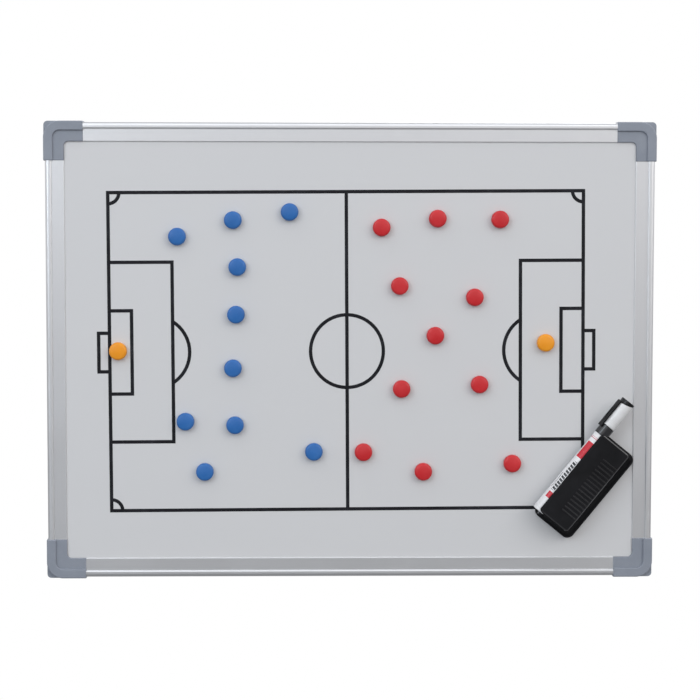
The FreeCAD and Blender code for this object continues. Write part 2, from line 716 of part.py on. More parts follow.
def build_eraser():
    body = new_body("eraser_body")
    half_length = "eraser_length / 2"
    half_width = "eraser_width / 2"
    tail_half = "(eraser_length / 2 - eraser_tail_slope)"
    head_half = "(eraser_length / 2 - eraser_head_slope)"
    grip_edge = "(eraser_grip_slope - eraser_width / 2)"
    groove_edge = f"({MARKER_Y} + groove_lip_over)"
    base = rectangle(f"-{half_length}", half_length, f"-{half_width}", half_width, "eraser_radius")
    foot_long = f"({half_length} - eraser_ledge)"
    foot_wide = f"({half_width} - eraser_ledge)"
    foot = rectangle(f"-{foot_long}", foot_long, f"-{foot_wide}", foot_wide, "eraser_radius - eraser_ledge")
    shoulder = rectangle(f"-{tail_half}", head_half, grip_edge, groove_edge, "eraser_top_radius")
    rim = rectangle(
        f"eraser_edge - {tail_half}", f"{head_half} - eraser_edge",
        f"{grip_edge} + eraser_edge", f"{groove_edge} - eraser_edge", "eraser_top_radius - eraser_edge",
    )
    shoulder_height = "(eraser_height - eraser_edge)"
    loft(body, "AdditiveLoft", [(foot, "felt_top"), (shoulder, shoulder_height), (rim, "eraser_height")])
    pad(body, outline(body, "XY_Plane", base, offset="felt_top"), "eraser_ledge_height")

    # the housing is hollow from below, beside the marker's groove and the seat of its wider collar
    inner_side = f"({MARKER_Y} - {GROOVE_RADIUS} - eraser_wall)"
    ceiling = "(eraser_height - eraser_wall)"
    inner_radius = "(eraser_top_radius - eraser_wall)"
    low_half = f"({foot_long} - eraser_wall)"
    low_side = f"(eraser_wall - {foot_wide})"
    mouth = rectangle(f"-{low_half}", low_half, low_side, inner_side, inner_radius)
    roof = rectangle(
        f"eraser_wall - {tail_half}", f"{head_half} - eraser_wall",
        f"{grip_edge} + eraser_wall", inner_side, inner_radius,
    )
    loft(body, "SubtractiveLoft", [(mouth, "felt_top"), (roof, ceiling)])
    doc.recompute()
    groove = new_sketch(body, "YZ_Plane")
    add_circle(groove, MARKER_Y, MARKER_HEIGHT, GROOVE_RADIUS)
    pocket(body, groove, "2 * eraser_length", midplane=True)
    seat = new_sketch(body, "YZ_Plane", half_length)
    add_circle(seat, MARKER_Y, MARKER_HEIGHT, f"{CAP_RADIUS} + groove_gap")
    pocket(body, seat, f"{half_length} - ({MARKER_START} + {BARREL_END} - groove_gap)")

    # finger ribs across the grip side of the top
    first = "(rib_pitch * (rib_count - 1) / 2)"
    edge = f"({grip_edge} + rib_margin)"
    rib = rectangle(
        f"-{first} - rib_width / 2", f"-{first} + rib_width / 2",
        edge, f"{edge} + rib_length", "rib_round",
    )
    sketch = outline(body, "XY_Plane", rib, offset="eraser_height - rib_height")
    first_rib = pad(body, sketch, "2 * rib_height")
    doc.recompute()
    ribs = body.newObject("PartDesign::LinearPattern", "ribs")
    ribs.Originals = [first_rib]
    ribs.Direction = (origin_plane(body, "X_Axis"), [""])
    ribs.setExpression("Length", bound("rib_pitch * (rib_count - 1)"))
    ribs.setExpression("Occurrences", bound("rib_count"))
    body.Tip = ribs
    place_on_eraser(body)
    nodes.append(body)

    felt = new_body("eraser_felt")
    long_half = f"({half_length} - felt_inset)"
    wide_half = f"({half_width} - felt_inset)"
    pad_outline = rectangle(
        f"-{long_half}", long_half, f"-{wide_half}", wide_half, "eraser_radius - felt_inset"
    )
    pad(felt, outline(felt, "XY_Plane", pad_outline, offset="slide_gap"), "felt_top - slide_gap")
    place_on_eraser(felt)
    nodes.append(felt)

    middle = f"(({inner_side} + {low_side}) / 2)"
    bars = []
    for name, side in (("bar_low", "-"), ("bar_high", "")):
        bar = new_body(name)
        centre = f"{side}bar_spread / 2"
        face = rectangle(
            f"{centre} - bar_length / 2", f"{centre} + bar_length / 2",
            f"{middle} - bar_width / 2", f"{middle} + bar_width / 2",
        )
        pad(bar, outline(bar, "XY_Plane", face, offset="felt_top"), "bar_height")
        bars.append(bar)
    group = doc.addObject("Part::Compound", "eraser_magnets")
    group.Label = "eraser_magnets"
    group.Links = bars
    place_on_eraser(group)
    nodes.append(group)


def turned(node, profile):
    body = new_body(node)
    revolve(body, outline(body, "XY_Plane", profile), "H_Axis")
    place_on_marker(body)
    nodes.append(body)
    return body


def slanted_end():
    # The sloping joint between the cap and its end piece, longest on the clip's side.
    reach = f"(2 * {CAP_RADIUS})"
    rise = "(cap_end_long - cap_end_short)"
    near = f"({CAP_END} - (cap_end_long + cap_end_short) / 2 - {rise})"
    far = f"({CAP_END} - (cap_end_long + cap_end_short) / 2 + {rise})"
    return (near, reach), (far, f"-{reach}")


def build_marker():
    bore = "(marker_radius - barrel_wall)"
    inner = f"({bore} - inner_gap)"
    collar_back = f"({BARREL_END} - collar_spigot)"
    turned("marker_barrel", rectangle("plug_flange", BARREL_END, bore, "marker_radius"))
    turned("marker_end_plug", [
        ("0", "0"),
        ("plug_flange + plug_spigot", "0"),
        ("plug_flange + plug_spigot", inner),
        ("plug_flange", inner),
        ("plug_flange", "marker_radius"),
        ("0", "marker_radius", "plug_round"),
    ])
    nib_bore = "(nib_radius + inner_gap)"
    spout_end = f"({COLLAR_END} + spout_length)"
    spout_radius = "(marker_radius - spout_step)"
    collar_radius = f"({CAP_RADIUS} - collar_step)"
    turned("marker_collar", [
        (collar_back, nib_bore),
        (f"{spout_end} + spout_taper", nib_bore),
        (f"{spout_end} + spout_taper", "spout_tip_radius"),
        (spout_end, spout_radius),
        (COLLAR_END, spout_radius),
        (COLLAR_END, collar_radius),
        (BARREL_END, collar_radius),
        (BARREL_END, inner),
        (collar_back, inner),
    ])
    reservoir_radius = f"({bore} - reservoir_gap)"
    turned("marker_reservoir", rectangle("plug_flange + plug_spigot", collar_back, "0", reservoir_radius))
    turned("marker_nib", [
        (collar_back, "0"),
        (f"{COLLAR_END} + nib_reach", "0"),
        (f"{COLLAR_END} + nib_reach", "nib_radius", "nib_round"),
        (collar_back, "nib_radius"),
    ])
    cap_bore = f"({spout_radius} + cap_gap)"
    near, far = slanted_end()
    cap = turned("marker_cap", [
        (CAP_FLOOR, "0"),
        (CAP_END, "0"),
        (CAP_END, CAP_RADIUS),
        (CAP_MOUTH, CAP_RADIUS),
        (CAP_MOUTH, cap_bore),
        (CAP_FLOOR, cap_bore),
    ])
    doc.recompute()
    beyond = f"({CAP_END} + 2 * {CAP_RADIUS})"
    off_cap = [near, far, (beyond, far[1]), (beyond, near[1])]
    pocket(cap, outline(cap, "XY_Plane", off_cap), f"4 * {CAP_RADIUS}", midplane=True)

    end = turned("marker_cap_clip", rectangle(CAP_FLOOR, CAP_END, "0", CAP_RADIUS))
    doc.recompute()
    before = f"({CAP_FLOOR} - 2 * {CAP_RADIUS})"
    off_end = [near, far, (before, far[1]), (before, near[1])]
    pocket(end, outline(end, "XY_Plane", off_end), f"4 * {CAP_RADIUS}", midplane=True)

    # the clip's arm leaves the end piece a little below its top and keeps clear of the sloping joint
    stand = f"({CAP_RADIUS} + clip_stand)"
    outer = f"({stand} + clip_thick)"
    arm_top = f"({CAP_END} - clip_drop)"
    arm = [
        (f"{CAP_END} - (3 * cap_end_long + cap_end_short) / 4", f"{CAP_RADIUS} / 2"),
        (arm_top, f"{CAP_RADIUS} / 2"),
        (arm_top, outer, "clip_round"),
        (f"{CAP_MOUTH} - clip_overhang", outer),
        (f"{CAP_MOUTH} - clip_overhang", stand),
        (f"{CAP_END} - cap_end_long", stand),
    ]
    pad(end, outline(end, "XY_Plane", arm), "clip_width", midplane=True)


def write_parts():
    doc.recompute()
    for item in doc.Objects:
        if "Invalid" in item.State or "Error" in item.State:
            raise RuntimeError(f"{item.Label} failed: {item.State}")
    os.makedirs("parts", exist_ok=True)
    for node in nodes:
        if node.Shape.isNull() or not node.Shape.isValid():
            raise RuntimeError(f"{node.Label} has no valid shape")
        node.Shape.exportStep(f"parts/{node.Label}.step")
        print(f"{node.Label}: {len(node.Shape.Solids)} solids, {node.Shape.Volume:.1f} mm3")


build_panel()
build_markings()
for side_name, side_sign in (("top", ""), ("bottom", "-")):
    build_rail(f"rail_{side_name}", side_sign, level=True)
for side_name, side_sign in (("left", "-"), ("right", "")):
    build_rail(f"rail_{side_name}", side_sign, level=False)
for row_name, row_sign in (("top", ""), ("bottom", "-")):
    for side_name, side_sign in (("left", "-"), ("right", "")):
        build_corner(f"corner_{row_name}_{side_name}", side_sign, row_sign)
build_screws()
for colour, places in PLACES.items():
    for number, place in enumerate(places, start=1):
        build_magnet(f"{colour}_{number:02d}", *place)
build_eraser()
build_marker()
write_parts()
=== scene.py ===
import json
import math

import bmesh
import bpy
from mathutils import Matrix, Vector, noise


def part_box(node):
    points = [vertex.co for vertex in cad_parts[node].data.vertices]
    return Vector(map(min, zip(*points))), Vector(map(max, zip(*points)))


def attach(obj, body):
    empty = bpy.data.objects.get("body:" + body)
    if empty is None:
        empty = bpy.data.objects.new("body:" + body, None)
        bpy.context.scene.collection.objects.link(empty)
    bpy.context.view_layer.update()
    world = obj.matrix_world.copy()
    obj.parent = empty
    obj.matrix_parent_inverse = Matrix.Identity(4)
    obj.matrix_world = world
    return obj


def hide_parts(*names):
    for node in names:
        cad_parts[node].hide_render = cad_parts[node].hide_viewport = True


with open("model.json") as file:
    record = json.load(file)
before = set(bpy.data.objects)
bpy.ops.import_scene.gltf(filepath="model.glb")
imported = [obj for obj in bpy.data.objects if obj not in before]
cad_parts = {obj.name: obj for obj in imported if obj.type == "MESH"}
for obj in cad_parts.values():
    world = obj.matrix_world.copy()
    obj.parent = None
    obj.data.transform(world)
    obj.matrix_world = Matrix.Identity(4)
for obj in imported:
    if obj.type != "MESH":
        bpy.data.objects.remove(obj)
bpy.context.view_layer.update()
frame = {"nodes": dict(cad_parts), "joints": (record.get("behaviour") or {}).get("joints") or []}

nodes = frame["nodes"]
print("frame loaded:", len(nodes), "nodes")


# node helpers: every material below is written with these
def feed(tree, socket, value):
    if isinstance(value, bpy.types.NodeSocket):
        tree.links.new(value, socket)
    elif socket.type == "RGBA":
        socket.default_value = (*value, 1.0)
    else:
        socket.default_value = value


def addNode(tree, kind, settings=None, **inputs):
    node = tree.nodes.new("ShaderNode" + kind)
    for key, value in (settings or {}).items():
        setattr(node, key, value)
    for key, value in inputs.items():
        feed(tree, node.inputs[key.replace("_", " ")], value)
    return node


def spread(tree, value, old=(0.0, 1.0), new=(0.0, 1.0)):
    node = addNode(tree, "MapRange", Value=value, From_Min=old[0], From_Max=old[1],
                   To_Min=new[0], To_Max=new[1])
    return node.outputs["Result"]


def sums(tree, operation, first, second=0.0):
    node = addNode(tree, "Math", {"operation": operation})
    feed(tree, node.inputs[0], first)
    feed(tree, node.inputs[1], second)
    return node.outputs["Value"]


def times(tree, first, second):
    return sums(tree, "MULTIPLY", first, second)


def blendColour(tree, mask, first, second):
    node = addNode(tree, "Mix", {"data_type": "RGBA"})
    for number, value in ((0, mask), (6, first), (7, second)):  # the factor and the two colours
        feed(tree, node.inputs[number], value)
    return node.outputs[2]


def cloud(tree, place, scale, detail, rough=0.5, bent=0.0):
    node = addNode(tree, "TexNoise", Vector=place, Scale=scale, Detail=detail, Roughness=rough,
                   Distortion=bent)
    return node.outputs["Fac"]


def objectPlace(tree, scale=(1, 1, 1), turn=(0, 0, 0), start=(0, 0, 0), kind="POINT"):
    coords = addNode(tree, "TexCoord").outputs["Object"]
    mapping = addNode(tree, "Mapping", {"vector_type": kind}, Vector=coords, Location=start,
                      Rotation=turn, Scale=scale)
    return mapping.outputs["Vector"]


def newFinish(name, **values):
    material = bpy.data.materials.new(name)
    material.use_nodes = True
    tree = material.node_tree
    shader = tree.nodes["Principled BSDF"]
    for key, value in values.items():
        feed(tree, shader.inputs[key.replace("_", " ")], value)
    return material, tree, shader


# what every finish ends with: colour, roughness and a fine relief, which has its depth and strength
def paint(tree, shader, colour, rough, height, relief):
    bump = addNode(tree, "Bump", Height=height, Distance=relief[0], Strength=relief[1])
    tree.links.new(colour, shader.inputs["Base Color"])
    tree.links.new(rough, shader.inputs["Roughness"])
    tree.links.new(bump.outputs["Normal"], shader.inputs["Normal"])


def newGroup(name, inputs, outputs):
    group = bpy.data.node_groups.new(name, "ShaderNodeTree")
    for label, value in inputs.items():
        kind = "NodeSocketVector" if value is None else "NodeSocketFloat"
        socket = group.interface.new_socket(name=label, in_out="INPUT", socket_type=kind)
        if value is not None:
            socket.default_value = value
    for label in outputs:
        group.interface.new_socket(name=label, in_out="OUTPUT", socket_type="NodeSocketFloat")
    return group, group.nodes.new("NodeGroupInput").outputs, group.nodes.new("NodeGroupOutput").inputs


def useGroup(tree, group, **inputs):
    return addNode(tree, "Group", {"node_tree": group}, **inputs).outputs


# fine moulded grain, with a slow drift in tone
grainLook = {"detail": 3.0, "drift": 0.02, "driftDetail": 4.0, "tone": (0.3, 0.7)}


def makeGrain():
    group, given, result = newGroup("mouldGrain", {"Vector": None, "Scale": 2000.0}, ("Height", "Tone"))
    fine = cloud(group, given["Vector"], given["Scale"], grainLook["detail"])
    slowScale = times(group, given["Scale"], grainLook["drift"])
    slow = cloud(group, given["Vector"], slowScale, grainLook["driftDetail"])
    group.links.new(fine, result["Height"])
    group.links.new(spread(group, slow, grainLook["tone"]), result["Tone"])
    return group


# soft patches left by hands and cloths; on the eraser's rim and rib tops they also place painted glints
patchLook = {"detail": 6.0, "rough": 0.6}


def makePatches():
    inputs = {"Vector": None, "Scale": 10.0, "Low": 0.5, "High": 0.7}
    group, given, result = newGroup("softPatches", inputs, ("Mask",))
    field = cloud(group, given["Vector"], given["Scale"], patchLook["detail"], patchLook["rough"])
    group.links.new(spread(group, field, (given["Low"], given["High"])), result["Mask"])
    return group


# hairline scratches: thin contours of a soft noise, broken up by a finer one
hairlineLook = {"detail": 1.0, "middle": 0.5, "gapScale": 1.7, "gapDetail": 2.0, "shown": (0.52, 0.62)}


def makeHairlines():
    inputs = {"Vector": None, "Scale": 30.0, "Width": 0.01}
    group, given, result = newGroup("hairlines", inputs, ("Mask",))
    field = cloud(group, given["Vector"], given["Scale"], hairlineLook["detail"])
    away = sums(group, "ABSOLUTE", sums(group, "SUBTRACT", field, hairlineLook["middle"]))
    line = spread(group, away, (0.0, given["Width"]), (1.0, 0.0))
    gapScale = times(group, given["Scale"], hairlineLook["gapScale"])
    gaps = cloud(group, given["Vector"], gapScale, hairlineLook["gapDetail"])
    shown = spread(group, gaps, hairlineLook["shown"])
    group.links.new(times(group, line, shown), result["Mask"])
    return group


mouldGrain = makeGrain()
softPatches = makePatches()
hairlines = makeHairlines()
print("shared surface effects made")


# in the looks below, a patch has its scale, low and high, and lines or nicks have their scale and width
def grainOf(tree, place, scale):
    return useGroup(tree, mouldGrain, Vector=place, Scale=scale)


def patchMask(tree, place, scale, low, high):
    return useGroup(tree, softPatches, Vector=place, Scale=scale, Low=low, High=high)["Mask"]


def lineMask(tree, place, scale, width):
    return useGroup(tree, hairlines, Vector=place, Scale=scale, Width=width)["Mask"]


# white enamel: a thin orange peel, cloth-wiped patches and a few hairlines
enamelLook = {
    "white": (0.705, 0.705, 0.71), "wiped": (0.68, 0.681, 0.69), "wipedShare": 0.5, "specular": 0.45,
    "stroke": (0.55, 1.0, 1.6), "strokeTurn": 24.0, "patch": (9.0, 0.3, 0.85), "lines": (26.0, 0.004),
    "gloss": (0.28, 0.36), "lineRough": 0.12, "peel": 420.0, "relief": (0.00004, 0.35),
}


def makeEnamel(name):
    look = enamelLook
    material, tree, shader = newFinish(name, Specular_IOR_Level=look["specular"])
    wiped = objectPlace(tree, scale=look["stroke"], turn=(0, math.radians(look["strokeTurn"]), 0))
    patches = patchMask(tree, wiped, *look["patch"])
    lines = lineMask(tree, wiped, *look["lines"])
    colour = blendColour(tree, times(tree, patches, look["wipedShare"]), look["white"], look["wiped"])
    smooth = spread(tree, patches, new=look["gloss"])
    rough = sums(tree, "ADD", smooth, times(tree, lines, look["lineRough"]))
    peel = grainOf(tree, objectPlace(tree), look["peel"])["Height"]
    paint(tree, shader, colour, rough, peel, look["relief"])
    return material


# printed lines: a matt black ink that the cloth has rubbed a little
inkLook = {
    "black": (0.007, 0.007, 0.010), "rubbed": (0.024, 0.025, 0.032), "specular": 0.25,
    "patch": (55.0, 0.5, 0.78), "gloss": (0.38, 0.55), "grain": 1500.0, "relief": (0.00003, 0.4),
}


def makeInk(name):
    look = inkLook
    material, tree, shader = newFinish(name, Specular_IOR_Level=look["specular"])
    place = objectPlace(tree)
    rubbed = patchMask(tree, place, *look["patch"])
    colour = blendColour(tree, rubbed, look["black"], look["rubbed"])
    rough = spread(tree, rubbed, new=look["gloss"])
    screen = grainOf(tree, place, look["grain"])["Height"]
    paint(tree, shader, colour, rough, screen, look["relief"])
    return material


# anodised aluminium, drawn along each rail
railLook = {
    "bright": (0.90, 0.905, 0.915), "dull": (0.78, 0.785, 0.80), "gloss": (0.30, 0.46), "grain": 1900.0,
    "drawn": {"railLevel": (0.012, 1.0, 1.0), "railUpright": (1.0, 1.0, 0.012)},
    "patch": (14.0, 0.45, 0.72), "patchShare": 0.4, "grainShare": 0.4,
    "nicks": (60.0, 0.006), "nickRough": 0.15, "relief": (0.00002, 0.5),
}


def makeRail(name):
    look = railLook
    material, tree, shader = newFinish(name, Metallic=1.0)
    place = objectPlace(tree)
    grain = grainOf(tree, objectPlace(tree, scale=look["drawn"][name]), look["grain"])["Height"]
    patches = patchMask(tree, place, *look["patch"])
    nicks = lineMask(tree, place, *look["nicks"])
    handled = times(tree, patches, look["patchShare"])
    dull = sums(tree, "ADD", handled, times(tree, grain, look["grainShare"]))
    colour = blendColour(tree, dull, look["bright"], look["dull"])
    smooth = spread(tree, dull, new=look["gloss"])
    rough = sums(tree, "ADD", smooth, times(tree, nicks, look["nickRough"]))
    paint(tree, shader, colour, rough, grain, look["relief"])
    return material


# moulded plastic: the corners, the magnets, the eraser and the marker have their own values
plasticWearAndGlint = {
    "patchRange": (0.45, 0.75), "patchShare": 0.5, "nickScale": 3, "nickWidth": 0.008,
    "strength": 0.6, "specular": 0.5,
}
magnetSkin = {"grain": 3200.0, "patchScale": 90.0, "gloss": (0.34, 0.50), "depth": 0.00004, "wearAndGlint": 0.3}
markerSkin = {"grain": 1200.0, "patchScale": 110.0, "depth": 0.00001}
plasticLooks = {
    "cornerGrey": {
        "dark": (0.255, 0.28, 0.33), "light": (0.285, 0.31, 0.36), "wornAndGlint": (0.38, 0.40, 0.44),
        "grain": 2600.0, "patchScale": 35.0, "gloss": (0.42, 0.58), "depth": 0.00005, "wearAndGlint": 0.35,
    },
    "magnetBlue": {
        **magnetSkin,
        "dark": (0.016, 0.132, 0.425), "light": (0.026, 0.158, 0.478), "wornAndGlint": (0.09, 0.24, 0.54),
    },
    "magnetRed": {
        **magnetSkin,
        "dark": (0.585, 0.012, 0.017), "light": (0.665, 0.022, 0.028), "wornAndGlint": (0.70, 0.09, 0.10),
    },
    "magnetOrange": {
        **magnetSkin,
        "dark": (0.92, 0.315, 0.006), "light": (0.97, 0.370, 0.011), "wornAndGlint": (0.94, 0.44, 0.07),
    },
    "eraserBlack": {
        "dark": (0.011, 0.011, 0.012), "light": (0.016, 0.016, 0.018), "wornAndGlint": (0.035, 0.035, 0.037),
        "grain": 2200.0, "patchScale": 60.0, "gloss": (0.52, 0.66), "depth": 0.00008, "wearAndGlint": 0.35,
        "specular": 0.08,
    },
    # the eraser's rim: the same black made lighter and glossier, partly polish from use and partly a painted
    # highlight
    "eraserEdgeWornAndHighlit": {
        "dark": (0.018, 0.018, 0.020), "light": (0.026, 0.026, 0.028), "wornAndGlint": (0.06, 0.06, 0.062),
        "grain": 2200.0, "patchScale": 90.0, "gloss": (0.16, 0.28), "depth": 0.00002, "wearAndGlint": 0.5,
        "specular": 0.8,
    },
    # the eraser's rib tops: a little lighter, with lighter patches that are partly wear and partly painted
    # glints
    "eraserRibWornAndGlinting": {
        "dark": (0.011, 0.011, 0.012), "light": (0.020, 0.020, 0.022), "wornAndGlint": (0.07, 0.07, 0.072),
        "grain": 2200.0, "patchScale": 50.0, "gloss": (0.36, 0.50), "depth": 0.00004, "wearAndGlint": 0.5,
        "specular": 0.3,
    },
    # the eraser's walls: the same black made rougher and darker; the darker colour is painted shade
    "eraserWallShaded": {
        "dark": (0.004, 0.004, 0.005), "light": (0.006, 0.006, 0.007), "wornAndGlint": (0.014, 0.014, 0.015),
        "grain": 1600.0, "patchScale": 60.0, "gloss": (0.70, 0.82), "depth": 0.00012, "wearAndGlint": 0.3,
        "specular": 0.05,
    },
    "markerBlack": {
        **markerSkin,
        "dark": (0.006, 0.006, 0.007), "light": (0.009, 0.009, 0.010), "wornAndGlint": (0.02, 0.02, 0.022),
        "gloss": (0.12, 0.24), "wearAndGlint": 0.3, "specular": 0.35,
    },
    "collarBlack": {
        **markerSkin,
        "dark": (0.014, 0.014, 0.016), "light": (0.020, 0.020, 0.022), "wornAndGlint": (0.04, 0.04, 0.043),
        "gloss": (0.14, 0.24), "wearAndGlint": 0.3, "specular": 0.8,
    },
    "markerWhite": {
        **markerSkin,
        "dark": (0.79, 0.79, 0.79), "light": (0.84, 0.84, 0.845), "wornAndGlint": (0.68, 0.68, 0.68),
        "gloss": (0.18, 0.30), "wearAndGlint": 0.25,
    },
}


def makePlastic(name):
    look = plasticLooks[name]
    wearAndGlint = plasticWearAndGlint
    material, tree, shader = newFinish(name, Specular_IOR_Level=look.get("specular", wearAndGlint["specular"]))
    place = objectPlace(tree)
    grain = grainOf(tree, place, look["grain"])
    patches = patchMask(tree, place, look["patchScale"], *wearAndGlint["patchRange"])
    nicks = lineMask(tree, place, look["patchScale"] * wearAndGlint["nickScale"], wearAndGlint["nickWidth"])
    toned = blendColour(tree, grain["Tone"], look["dark"], look["light"])
    # patches and nicks lighten the colour towards the worn one; on the eraser's rim and rib tops they are
    # partly painted glints
    marks = sums(tree, "MAXIMUM", times(tree, patches, wearAndGlint["patchShare"]), nicks)
    colour = blendColour(tree, times(tree, marks, look["wearAndGlint"]), toned, look["wornAndGlint"])
    rough = spread(tree, patches, new=look["gloss"])
    paint(tree, shader, colour, rough, grain["Height"], (look["depth"], wearAndGlint["strength"]))
    return material


# zinc-coated sheet with its crystal flakes
zincLook = {
    "light": (0.62, 0.64, 0.66), "dark": (0.47, 0.49, 0.51), "flake": 70.0, "flakeShare": 0.7,
    "patch": (7.0, 0.4, 0.75), "patchShare": 0.3, "gloss": (0.34, 0.58), "grain": 600.0,
    "relief": (0.00003, 0.4),
}


def makeZinc(name):
    look = zincLook
    material, tree, shader = newFinish(name, Metallic=1.0)
    place = objectPlace(tree)
    flakes = addNode(tree, "TexVoronoi", Vector=place, Scale=look["flake"], Randomness=1.0)
    tone = addNode(tree, "SeparateColor", Color=flakes.outputs["Color"]).outputs["Red"]
    patches = patchMask(tree, place, *look["patch"])
    crystals = times(tree, tone, look["flakeShare"])
    flake = sums(tree, "ADD", crystals, times(tree, patches, look["patchShare"]))
    colour = blendColour(tree, flake, look["light"], look["dark"])
    rough = spread(tree, flake, new=look["gloss"])
    grain = grainOf(tree, place, look["grain"])["Height"]
    paint(tree, shader, colour, rough, grain, look["relief"])
    return material


# plated screws and faintly speckled ferrite: "by" is the grain's output that blends the two colours
hardLooks = {
    "screwPlate": {
        "metal": 1.0, "first": (0.62, 0.61, 0.57), "second": (0.50, 0.49, 0.46), "by": "Tone",
        "gloss": (0.24, 0.42), "grain": 1800.0, "relief": (0.00003, 0.4),
    },
    "ferrite": {
        "metal": 0.2, "first": (0.035, 0.035, 0.037), "second": (0.075, 0.075, 0.078), "by": "Height",
        "gloss": (0.45, 0.65), "grain": 1500.0, "relief": (0.00005, 0.5),
    },
}


def makeHard(name):
    look = hardLooks[name]
    material, tree, shader = newFinish(name, Metallic=look["metal"])
    grain = grainOf(tree, objectPlace(tree), look["grain"])
    colour = blendColour(tree, grain[look["by"]], look["first"], look["second"])
    rough = spread(tree, grain["Tone"], new=look["gloss"])
    paint(tree, shader, colour, rough, grain["Height"], look["relief"])
    return material


# fibrous things: felt, nib, reservoir and core board
fibreTangle = {
    "detail": 8.0, "rough": 0.72, "bent": 1.6, "tone": (0.3, 0.7), "gloss": (0.95, 0.8),
    "specular": 0.2, "strength": 0.9,
}
fibreLooks = {
    "wipingFelt": {
        "dark": (0.018, 0.018, 0.020), "light": (0.075, 0.075, 0.08), "scale": 900.0,
        "depth": 0.0004, "sheen": 0.4,
    },
    "nibFibre": {
        "dark": (0.10, 0.006, 0.01), "light": (0.22, 0.014, 0.02), "scale": 2500.0,
        "depth": 0.0001, "sheen": 0.0,
    },
    "inkFibre": {
        "dark": (0.20, 0.01, 0.02), "light": (0.34, 0.03, 0.04), "scale": 1500.0,
        "depth": 0.0002, "sheen": 0.0,
    },
    "coreBoard": {
        "dark": (0.32, 0.24, 0.16), "light": (0.52, 0.42, 0.30), "scale": 700.0,
        "depth": 0.0003, "sheen": 0.0,
    },
}


def makeFibre(name):
    look = fibreLooks[name]
    part = fibreTangle
    material, tree, shader = newFinish(name, Sheen_Weight=look["sheen"], Specular_IOR_Level=part["specular"])
    fibre = cloud(tree, objectPlace(tree), look["scale"], part["detail"], part["rough"], part["bent"])
    tone = spread(tree, fibre, part["tone"])
    colour = blendColour(tree, tone, look["dark"], look["light"])
    rough = spread(tree, tone, new=part["gloss"])
    paint(tree, shader, colour, rough, fibre, (look["depth"], part["strength"]))
    return material


# where the marker lies: x along it from its rear end, y towards the upper left, z towards the viewer
markerSize = {"plug": 0.003, "clipRoll": 26.0, "capLength": 0.0315, "capGap": 0.0003, "collar": 0.0109}


def findAxes():
    joint = next(item for item in frame["joints"] if item["name"] == "marker_pull")
    along = Vector(joint["axis"]).normalized()
    out = Vector((0, -1, 0))
    return along, out.cross(along), out


def findMarker():
    low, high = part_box("marker_barrel")
    radius = (high.y - low.y) / 2
    length = (high.x - low.x - 2 * radius * abs(markerAlong.z)) / abs(markerAlong.x)
    rear = (low + high) / 2 - markerAlong * (length / 2 + markerSize["plug"])
    return Matrix.Translation(rear) @ markerTurn, radius, length


markerAlong, markerAcross, markerOut = findAxes()
markerTurn = Matrix((markerAlong, markerAcross, markerOut)).transposed().to_4x4()
markerPlace, markerRadius, barrelLength = findMarker()

# the barrel's print: plain blocks and rows of bars, in metres along the barrel and degrees round it
# a block has its start, end and arc; a row has its start, end, step, the bar's share of a step and its arc
labelLook = {
    "white": (0.84, 0.84, 0.845), "aged": (0.70, 0.70, 0.70), "agedShare": 0.3,
    "red": (0.60, 0.022, 0.04), "black": (0.02, 0.02, 0.022),
    "blocks": ((0.0655, 0.0850, 18.0, 82.0), (0.0158, 0.0226, 40.0, 84.0)),
    "bars": ((0.0245, 0.0605, 0.0034, 0.70, 42.0, 76.0), (0.0270, 0.0450, 0.0017, 0.55, 22.0, 31.0)),
    "slant": 0.0012, "lines": ((0.0895, 0.0901), (0.0912, 0.0915)),
    "specular": 0.5, "patch": (120.0, 0.5, 0.8), "gloss": (0.22, 0.36), "grain": 1200.0,
    "relief": (0.00001, 0.3),
}


def makeLabel(name):
    look = labelLook
    material, tree, shader = newFinish(name, Specular_IOR_Level=look["specular"])
    own = objectPlace(tree, turn=markerPlace.to_euler(), start=markerPlace.translation, kind="TEXTURE")
    axes = addNode(tree, "SeparateXYZ", Vector=own)
    along = axes.outputs["X"]
    angle = sums(tree, "ARCTAN2", axes.outputs["Z"], axes.outputs["Y"])
    degrees = times(tree, angle, 180 / math.pi)

    def within(value, low, high):
        above = sums(tree, "GREATER_THAN", value, low)
        return times(tree, above, sums(tree, "LESS_THAN", value, high))

    blocks = [times(tree, within(along, *block[:2]), within(degrees, *block[2:]))
              for block in look["blocks"]]
    lines = [within(along, *span) for span in look["lines"]]
    redSpot = sums(tree, "MAXIMUM", sums(tree, "MAXIMUM", *blocks), sums(tree, "MAXIMUM", *lines))
    slanted = sums(tree, "ADD", along, times(tree, angle, look["slant"]))
    rows = []
    for start, end, step, share, lowArc, highArc in look["bars"]:
        inStep = sums(tree, "FRACT", sums(tree, "DIVIDE", slanted, step))
        bar = times(tree, sums(tree, "LESS_THAN", inStep, share), within(along, start, end))
        rows.append(times(tree, bar, within(degrees, lowArc, highArc)))
    patches = patchMask(tree, own, *look["patch"])
    paper = blendColour(tree, times(tree, patches, look["agedShare"]), look["white"], look["aged"])
    withRed = blendColour(tree, redSpot, paper, look["red"])
    colour = blendColour(tree, sums(tree, "MAXIMUM", *rows), withRed, look["black"])
    rough = spread(tree, patches, new=look["gloss"])
    grain = grainOf(tree, own, look["grain"])["Height"]
    paint(tree, shader, colour, rough, grain, look["relief"])
    return material


makers = {
    "whiteEnamel": makeEnamel, "pitchInk": makeInk, "railLevel": makeRail, "railUpright": makeRail,
    "zincSheet": makeZinc, "markerLabel": makeLabel, **dict.fromkeys(plasticLooks, makePlastic),
    **dict.fromkeys(hardLooks, makeHard), **dict.fromkeys(fibreLooks, makeFibre),
}
finishes = {name: make(name) for name, make in makers.items()}
print("finishes made:", len(finishes))

